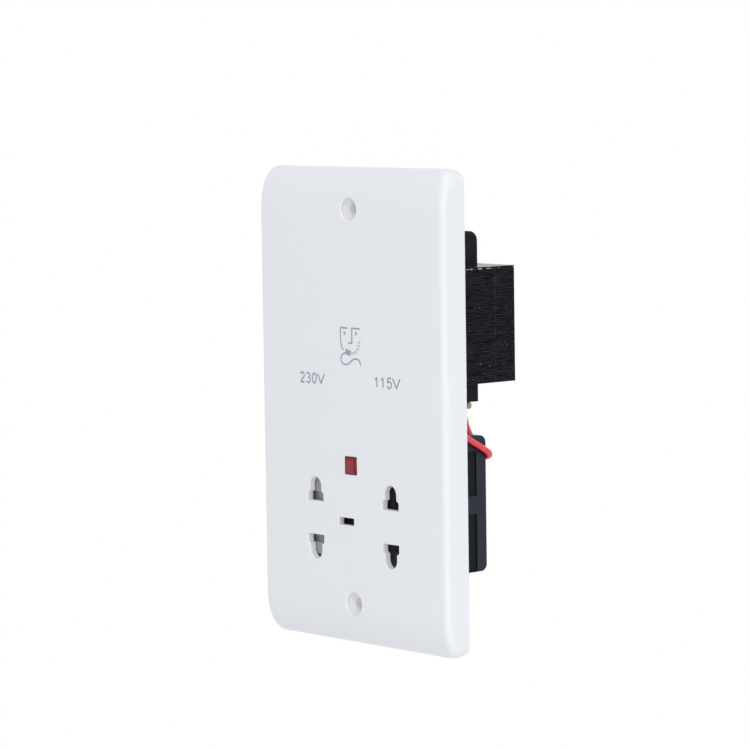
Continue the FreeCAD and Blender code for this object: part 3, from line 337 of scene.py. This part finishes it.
def clear_bulb():
    """The neon's glass, with a faint uneven tint."""
    material, tree, shader = new_material("clear_bulb", Roughness=0.05, IOR=1.5, Transmission_Weight=0.9)
    tone = noise(tree, object_place(tree), 200.0)
    set_inputs(tree, shader, Base_Color=blend_colour(tree, tone, (0.9, 0.88, 0.85), (0.95, 0.9, 0.82)))
    return material


def red_lens():
    """Red moulded lens: a pale red middle with a faint cloud, and painted light and shade at its edges: a
    deeper red rim above and right with a painted dark line in it, and painted shade at left and below."""
    material, tree, shader = new_material("red_lens", IOR=1.5, Specular_IOR_Level=0.12)
    surface = use_group(tree, GRAIN, Grain=2600.0, Cloud=350.0)
    tone = surface.outputs["Tone"]
    x, _, z = object_axes(tree)
    # Painted light and shade at the lens's edges: a deeper red rim, a dark line in it, darker left and foot.
    right_insets = [LENS_RIGHT - inset * MM for inset in (1.1, 0.8, 0.6, 0.4)]
    top_insets = [LENS_TOP - inset * MM for inset in (1.1, 0.9, 0.6, 0.3)]
    rim = larger(tree, ramp(tree, x, *right_insets[:2]), ramp(tree, z, *top_insets[:2]))
    painted_shade_line = larger(tree, band(tree, x, *right_insets), ramp(tree, z, *top_insets[2:]))
    left_painted_shade = fade(tree, x, LENS_LEFT + 0.45 * MM, LENS_LEFT + 0.8 * MM)
    foot_painted_shade = fade(tree, z, LENS_FOOT + 0.35 * MM, LENS_FOOT + 0.65 * MM)
    colour = blend_colour(tree, tone, (0.253, 0.036, 0.054), (0.283, 0.042, 0.062))
    # Painted light: a deeper red rim above and right.
    colour = blend_colour(tree, rim, colour, (0.25, 0.016, 0.03))
    colour = blend_colour(tree, larger(tree, left_painted_shade, foot_painted_shade), colour, (0.17, 0.008, 0.018))
    set_inputs(
        tree, shader,
        Base_Color=blend_colour(tree, painted_shade_line, colour, (0.15, 0.001, 0.004)),
        Roughness=ramp(tree, tone, 0.2, 0.8, 0.22, 0.3),
    )
    give_bump(tree, shader, surface.outputs["Height"], 0.1, GRAIN_DEPTH)
    return material


def plate_moulding():
    """The plate's glossy white plastic. The walls of its openings are duller than its face, and painted light
    makes them less blue than it, palest in the fixing bores; painted shade makes the screw cups' seats
    darkest."""
    material, tree, shader = new_material("plate_white", Specular_IOR_Level=0.38)
    surface = use_group(tree, GRAIN)
    marks = use_group(tree, MARKS)
    x, depth, z = object_axes(tree)
    width = maths(tree, "ABSOLUTE", x)
    height = maths(tree, "ABSOLUTE", z)
    off_hole = maths(tree, "ABSOLUTE", maths(tree, "SUBTRACT", height, HOLE_Z))
    in_bore = maths(tree, "LESS_THAN", larger(tree, width, off_hole), HOLE_REACH)
    in_width = maths(tree, "LESS_THAN", width, RECESS_REACH[0])
    in_height = maths(tree, "LESS_THAN", height, RECESS_REACH[1])
    in_wall = maths(tree, "LESS_THAN", depth, PLATE_FRONT + PLATE_T)
    below = ramp(tree, depth, *RECESS_START)
    recess = larger(tree, product(tree, below, in_width, in_height, in_wall), product(tree, below, in_bore))
    near_end = maths(tree, "GREATER_THAN", height, HOLE_Z - SEAT_REACH)
    seat = product(tree, near_end, maths(tree, "LESS_THAN", depth, PLATE_FRONT + SEAT_DEPTH))
    face = blend_colour(tree, surface.outputs["Tone"], (0.795, 0.82, 0.868), (0.815, 0.835, 0.878))
    # Painted light on the walls of the openings: less blue than the face, and palest in the bores.
    wall = blend_colour(tree, in_bore, (0.83, 0.828, 0.84), (0.92, 0.915, 0.92))
    # Painted shade on the screw cups' seats.
    wall = blend_colour(tree, seat, wall, (0.76, 0.757, 0.782))
    gloss = ramp(tree, marks.outputs["Smear"], 0.0, 1.0, 0.3, 0.36)
    set_inputs(
        tree, shader,
        Base_Color=blend_colour(tree, recess, face, wall),
        Roughness=maths(tree, "ADD", gloss, product(tree, recess, 0.25)),
    )
    give_bump(tree, shader, surface.outputs["Height"], 0.06, GRAIN_DEPTH)
    return material


def black_moulding(name, colour, other, roughness, shine):
    """Black moulded plastic with a coarse grain and that specular level."""
    level = {"Specular_IOR_Level": shine}
    return moulded(name, colour, other, roughness, 0.55, grain=5200.0, smear=0.1, **level)


def base_moulding():
    """The contact base's black plastic: dull, and paler at the front with painted light."""
    material, tree, shader = new_material("base_moulding", Specular_IOR_Level=0.1)
    surface = use_group(tree, GRAIN, Grain=5200.0)
    tone = surface.outputs["Tone"]
    # Painted light: the base is made paler at its front, where light comes in through the plate's openings.
    painted_light = fade(tree, object_axes(tree)[1], *PAINTED_LIGHT_REACH)
    dark = blend_colour(tree, tone, (0.006, 0.008, 0.013), (0.009, 0.011, 0.018))
    set_inputs(
        tree, shader,
        Base_Color=blend_colour(tree, painted_light, dark, (0.085, 0.09, 0.108)),
        Roughness=ramp(tree, tone, 0.2, 0.8, 0.45, 0.55),
    )
    give_bump(tree, shader, surface.outputs["Height"], 0.55, GRAIN_DEPTH)
    return material


def insulation(name, colour, other, roughness=0.38):
    """A lead's insulation: extruded plastic with a soft sheen and a fine grain."""
    return moulded(name, colour, other, roughness, 0.25, grain=5000.0, smear=0.12)


FINISHES = {
    "plate_white": plate_moulding(),
    # The shutter is white plastic; its grey colour is painted shade, for the shade it lies in behind the
    # plate.
    "shutter_white": moulded("shutter_white", (0.31, 0.32, 0.345), (0.34, 0.35, 0.375), 0.5, 0.15),
    "lens_red": red_lens(),
    "lamp_glass": clear_bulb(),
    "resistor_tan": moulded("resistor_tan", (0.55, 0.4, 0.22), (0.62, 0.48, 0.28), 0.4, 0.3),
    "housing_black": black_moulding("housing_black", (0.007, 0.01, 0.022), (0.01, 0.0135, 0.029), 0.42, 0.3),
    "contact_bronze": metal("contact_bronze", (0.62, 0.38, 0.2), (0.7, 0.46, 0.25), 0.32, (0.2, 0.2, 2.0)),
    "terminal_brass": metal("terminal_brass", (0.70, 0.52, 0.24), (0.78, 0.6, 0.3), 0.3),
    "screw_steel": metal("screw_steel", (0.6, 0.61, 0.63), (0.68, 0.69, 0.7), 0.3),
    "core_varnish": varnished_core(),
    "bobbin_plastic": moulded("bobbin_plastic", (0.05, 0.05, 0.055), (0.06, 0.06, 0.066), 0.45, 0.3),
    "winding_copper": wound_wire(),
    "cap_black": black_moulding("cap_black", (0.005, 0.006, 0.009), (0.008, 0.009, 0.013), 0.46, 0.12),
    "fuse_tan": moulded("fuse_tan", (0.40, 0.34, 0.17), (0.48, 0.41, 0.22), 0.5, 0.4),
    "lead_red": insulation("lead_red", (0.80, 0.045, 0.06), (0.86, 0.06, 0.078), 0.24),
    "lead_black": insulation("lead_black", (0.012, 0.012, 0.013), (0.018, 0.018, 0.02)),
    "lead_brown": insulation("lead_brown", (0.14, 0.05, 0.025), (0.17, 0.065, 0.035)),
    "lead_white": insulation("lead_white", (0.74, 0.74, 0.71), (0.78, 0.78, 0.75)),
    "sleeve_yellow": insulation("sleeve_yellow", (0.80, 0.62, 0.10), (0.85, 0.68, 0.14), 0.5),
}

OWN_FINISHES = {"contact_base": base_moulding()}

for entry in frame["record"]["subparts"]:
    node = frame["nodes"][entry["node"]]
    node.data.materials.clear()
    node.data.materials.append(OWN_FINISHES.get(entry["node"], FINISHES[entry["material_slot"]]))

# Print on the plate's face

PRINT_T = 0.03 * MM
LINE_W = 0.5 * MM
LAYER_T = 0.003 * MM
CHIN_W = 0.42 * MM
SHAVER_W = 1.7 * MM
FIGURE_W = 0.54 * MM
# In millimetres, as the strokes' points are
FIGURE_H = 3.55
FIGURE_PITCH = 2.87


def grid_mesh(name, grids, closed_across):
    """A mesh from grids of points (rows, columns, 3). Neighbouring rows and columns share a quad. Where
    closed_across is true, the last column joins the first and each end row is closed by a face."""
    points, faces, used = [], [], 0
    for grid in grids:
        rows, columns = grid.shape[:2]
        index = used + np.arange(rows * columns).reshape(rows, columns)
        beside = np.roll(index, -1, axis=1) if closed_across else index[:, 1:]
        here = index if closed_across else index[:, :-1]
        faces += np.stack([here[:-1], here[1:], beside[1:], beside[:-1]], axis=-1).reshape(-1, 4).tolist()
        if closed_across:
            faces += [index[0].tolist(), index[-1][::-1].tolist()]
        points.append(grid.reshape(-1, 3))
        used += rows * columns
    mesh = bpy.data.meshes.new(name)
    mesh.from_pydata(np.concatenate(points).tolist(), [], faces)
    mesh.update()
    piece = bpy.data.objects.new(name, mesh)
    bpy.context.scene.collection.objects.link(piece)
    return piece


def stroke_grid(path, width, thickness):
    """A printed stroke: a flat rectangle of ink, one width by one thickness, carried along a path in the face
    of the plate. Path points are (x, z) in millimetres. The rectangle's width is along the path's normal."""
    path = np.asarray(path, float) * MM
    along = np.gradient(path, axis=0)
    along /= np.linalg.norm(along, axis=1, keepdims=True)
    across = np.stack([-along[:, 1], along[:, 0]], axis=1) * width / 2
    left, right = path + across, path - across
    top, foot = PLATE_FRONT - thickness, PLATE_FRONT + PRINT_T
    corners = [(left, top), (right, top), (right, foot), (left, foot)]
    return np.stack([np.stack([p[:, 0], np.full(len(p), y), p[:, 1]], axis=1) for p, y in corners], axis=1)


def printed_strokes(name, paths, width=LINE_W):
    """Strokes of one width as one piece. Each is a little thicker than the last, so that no two faces lie in
    one plane where strokes cross."""
    layers = PRINT_T + LAYER_T * np.arange(len(paths))
    return grid_mesh(name, [stroke_grid(path, width, layer) for path, layer in zip(paths, layers)], True)


def printed_dot(name, centre, radii):
    """A printed spot: an ellipse of ink in four rings, at the middle, the rim's top, its foot and the
    middle."""
    turn = np.linspace(0, 2 * np.pi, 20, endpoint=False)
    rings = np.array([(0.02, -1.0), (1.0, -1.0), (1.0, 1.0), (0.02, 1.0)])
    x = centre[0] * MM + rings[:, :1] * radii[0] * MM * np.cos(turn)
    z = centre[1] * MM + rings[:, :1] * radii[1] * MM * np.sin(turn)
    y = np.broadcast_to(PLATE_FRONT + rings[:, 1:] * PRINT_T, x.shape)
    return grid_mesh(name, [np.stack([x, y, z], axis=-1)], True)


def arc_path(centre, radii, start, end, count=16):
    """Points on an ellipse between two angles in degrees."""
    turn = np.radians(np.linspace(start, end, count))
    return np.stack([centre[0] + radii[0] * np.cos(turn), centre[1] + radii[1] * np.sin(turn)], axis=1)


def figure_paths():
    """Each figure's left side and width in millimetres, and its strokes in a box one unit wide and high."""
    two = np.concatenate([arc_path((0.5, 0.72), (0.48, 0.28), 165, -28), [(0.45, 0.3), (0.04, 0.0)]])
    five_bowl = arc_path((0.47, 0.32), (0.5, 0.33), 145, -160)
    return {
        "0": (0.05, 2.4, [arc_path((0.5, 0.5), (0.5, 0.5), 0, 360, 28)]),
        "1": (0.0, 2.4, [[(0.5, 0.0), (0.5, 0.5), (0.5, 1.0)], [(0.06, 0.72), (0.3, 0.83), (0.5, 1.0)]]),
        "2": (0.05, 2.4, [two, [(0.0, 0.0), (0.5, 0.0), (1.0, 0.0)]]),
        "3": (0.1, 2.35, [
            arc_path((0.47, 0.755), (0.43, 0.245), 160, -95),
            arc_path((0.48, 0.26), (0.5, 0.26), 95, -160),
        ]),
        "5": (0.0, 2.5, [
            [(0.2, 1.0), (0.6, 1.0), (0.93, 1.0)],
            [(0.2, 1.0), (0.14, 0.75), (0.08, 0.48)],
            five_bowl,
        ]),
        "V": (-0.3, 3.8, [[(0.0, 1.0), (0.25, 0.5), (0.5, 0.0)], [(0.5, 0.0), (0.75, 0.5), (1.0, 1.0)]]),
    }


def printed_figures(name, figures, left, foot):
    """Plain figures in a row, FIGURE_PITCH apart, from a left side and a foot in millimetres."""
    weight = FIGURE_W / MM
    drawn = figure_paths()
    paths = []
    for place, figure in enumerate(figures):
        bearing, width, strokes = drawn[figure]
        corner = np.array([left + place * FIGURE_PITCH + bearing, foot]) + weight / 2
        box = np.array([width, FIGURE_H]) - weight
        paths += [corner + np.asarray(stroke) * box for stroke in strokes]
    return printed_strokes(name, paths, FIGURE_W)


def shaver_sign():
    """The usual sign for a shaver outlet: two half outlines of a head, a shaver at the chin and its cord."""
    head = [
        [(-4.55, 24.3), (-2.75, 24.3), (-0.95, 24.3)],
        [(-4.33, 24.3), (-4.33, 21.5), (-4.3, 20.1), (-4.1, 19.2), (-3.75, 18.35), (-3.1, 17.4)],
        [(0.75, 24.3), (2.7, 24.3), (4.7, 24.3)],
        [(1.0, 24.3), (1.0, 21.8), (1.0, 19.75)],
        [(1.2, 19.8), (0.2, 19.8), (-0.8, 19.8)],
    ]
    turn = np.radians(np.linspace(-4, -86, 6))
    rays = np.stack([np.cos(turn), np.sin(turn)], axis=1)
    chin = [[(0.7, 20.4) + ray * reach for reach in (3.35, 3.8, 4.25)] for ray in rays]
    return [
        printed_strokes("sign_head", head),
        printed_dot("sign_left_eye", (-2.45, 22.65), (0.45, 0.55)),
        printed_dot("sign_right_eye", (2.95, 22.8), (0.45, 0.55)),
        printed_strokes("sign_chin", chin, CHIN_W),
        printed_strokes("sign_shaver", [[(-2.15, 17.12), (-0.9, 16.9), (0.35, 16.68)]], SHAVER_W),
        printed_strokes("sign_cord", [cord_wave()]),
    ]


def cord_wave():
    """The sign's cord: half an ellipse round from the shaver's heel, a rise along half a cosine and a fall
    along a quarter ellipse."""
    bend = arc_path((-2.15, 14.85), (2.1, 1.75), 90, 262, 16)
    x = np.linspace(-1.7, 2.6, 14)
    rise = np.stack([x, 14.1 - np.cos((x + 2.15) / 4.95 * np.pi)], axis=1)
    fall = arc_path((2.8, 13.1), (2.2, 2.0), 86, 4, 12)
    return np.concatenate([bend, rise, fall])


def printing_ink():
    """Grey printing ink, a little uneven in its cover."""
    material, tree, shader = new_material("printing_ink", Roughness=0.45)
    cover = use_group(tree, GRAIN, Grain=7000.0, Cloud=900.0)
    grey = blend_colour(tree, cover.outputs["Tone"], (0.28, 0.31, 0.37), (0.35, 0.38, 0.44))
    set_inputs(tree, shader, Base_Color=grey)
    give_bump(tree, shader, cover.outputs["Height"], 0.1, STREAK_DEPTH)
    return material


INK = printing_ink()
for piece in shaver_sign() + [
    printed_figures("figures_left", "230V", -24.2, 6.35),
    printed_figures("figures_right", "115V", 11.2, 6.8),
]:
    piece.data.materials.append(INK)
    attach(piece, "housing")

# Stage: floor, light and camera

FLOOR_DROP = 0.3
FLOOR_HALF = 6.0
ROOM_LIGHT = 0.6
# Each lamp's place and side in metres, and its level
LAMPS = {
    "key": ((1.2, -0.8, 0.7), 1.3, 0.26),
    "top": ((0.1, -0.5, 1.0), 0.8, 0.2),
    "fill": ((0.42, -0.3, -0.34), 0.44, 0.225),
    "side": ((1.2, 0.32, 0.25), 0.9, 0.115),
    "front": ((-0.5, -1.0, -0.2), 0.9, 0.062),
}
# The camera's angles in degrees, its distance and offsets in metres and its focal length in pixels
CAMERA_AZIMUTH = 49.606
CAMERA_ELEVATION = 5.055
CAMERA_ROLL = -0.835
CAMERA_DISTANCE = 1099.3 * MM
AIM_RIGHT = 7.36 * MM
AIM_UP = 10.003 * MM
FOCAL_PIXELS = 3617.9
FRAME_PIXELS = 750
SENSOR_W = 36.0


def seen_directly(tree):
    """1 for rays from the camera and for those in mirrors and glass."""
    path = tree.nodes.new("ShaderNodeLightPath")
    seen = larger(tree, path.outputs["Is Camera Ray"], path.outputs["Is Glossy Ray"])
    return larger(tree, seen, path.outputs["Is Transmission Ray"])


def pale_floor():
    """A wide flat grid below the part, painted pale. The camera, mirrors and glass see it as white."""
    level = cad_low[2] - FLOOR_DROP
    spread = np.linspace(-FLOOR_HALF, FLOOR_HALF, 3)
    x, y = np.meshgrid(spread, spread, indexing="ij")
    floor = grid_mesh("floor", [np.stack([x, y, np.full(x.shape, level)], axis=-1)], False)
    material = bpy.data.materials.new("floor_paint")
    material.use_nodes = True
    tree = material.node_tree
    tree.nodes.clear()
    paint = add_node(tree, "ShaderNodeBsdfDiffuse", Color=(0.86, 0.86, 0.86, 1))
    white = add_node(tree, "ShaderNodeEmission", Color=(1, 1, 1, 1), Strength=1.0)
    mix = add_node(tree, "ShaderNodeMixShader")
    for value, socket in zip((seen_directly(tree), paint.outputs[0], white.outputs[0]), mix.inputs):
        put(tree, value, socket)
    add_node(tree, "ShaderNodeOutputMaterial", Surface=mix.outputs[0])
    floor.data.materials.append(material)


def white_world():
    """A white surround. It lights the part at ROOM_LIGHT."""
    world = bpy.data.worlds.new("white_room")
    bpy.context.scene.world = world
    world.use_nodes = True
    tree = world.node_tree
    tree.nodes.clear()
    strength = ramp(tree, seen_directly(tree), 0.0, 1.0, ROOM_LIGHT, 1.0)
    background = add_node(tree, "ShaderNodeBackground", Color=(1, 1, 1, 1), Strength=strength)
    add_node(tree, "ShaderNodeOutputWorld", Surface=background.outputs[0])


def soft_lamp(name, place, size, level):
    """A square soft lamp that faces the part. A white wall that faces it gets that level of light."""
    place = Vector(place)
    light = bpy.data.lights.new(name, "AREA")
    light.shape = "SQUARE"
    light.size = size
    light.energy = level * math.pi ** 2 * place.length_squared
    lamp = bpy.data.objects.new(name, light)
    lamp.matrix_world = Matrix.Translation(place) @ place.to_track_quat("Z", "Y").to_matrix().to_4x4()
    bpy.context.scene.collection.objects.link(lamp)


def photo_camera():
    """The photograph's camera: its direction, roll, distance and aim were fitted to the plate's edges."""
    azimuth = math.radians(CAMERA_AZIMUTH)
    elevation = math.radians(CAMERA_ELEVATION)
    roll = math.radians(CAMERA_ROLL)
    level = Vector((math.cos(azimuth), math.sin(azimuth), 0))
    away = Vector((math.sin(azimuth), -math.cos(azimuth), 0))
    back = away * math.cos(elevation) + Vector((0, 0, math.sin(elevation)))
    upright = back.cross(level)
    right = level * math.cos(roll) + upright * math.sin(roll)
    up = upright * math.cos(roll) - level * math.sin(roll)
    aim = right * AIM_RIGHT + up * AIM_UP + Vector((0, PLATE_FRONT, 0))
    data = bpy.data.cameras.new("photo_camera")
    data.sensor_width = SENSOR_W
    data.lens = SENSOR_W * FOCAL_PIXELS / FRAME_PIXELS
    data.clip_start = 0.01
    data.clip_end = 50.0
    camera = bpy.data.objects.new("photo_camera", data)
    turned = Matrix((right, up, back)).transposed().to_4x4()
    camera.matrix_world = Matrix.Translation(aim + back * CAMERA_DISTANCE) @ turned
    bpy.context.scene.collection.objects.link(camera)
    bpy.context.scene.camera = camera


pale_floor()
white_world()
for lamp_name, lamp_values in LAMPS.items():
    soft_lamp(lamp_name, *lamp_values)
photo_camera()
bpy.context.scene.view_settings.view_transform = "Standard"
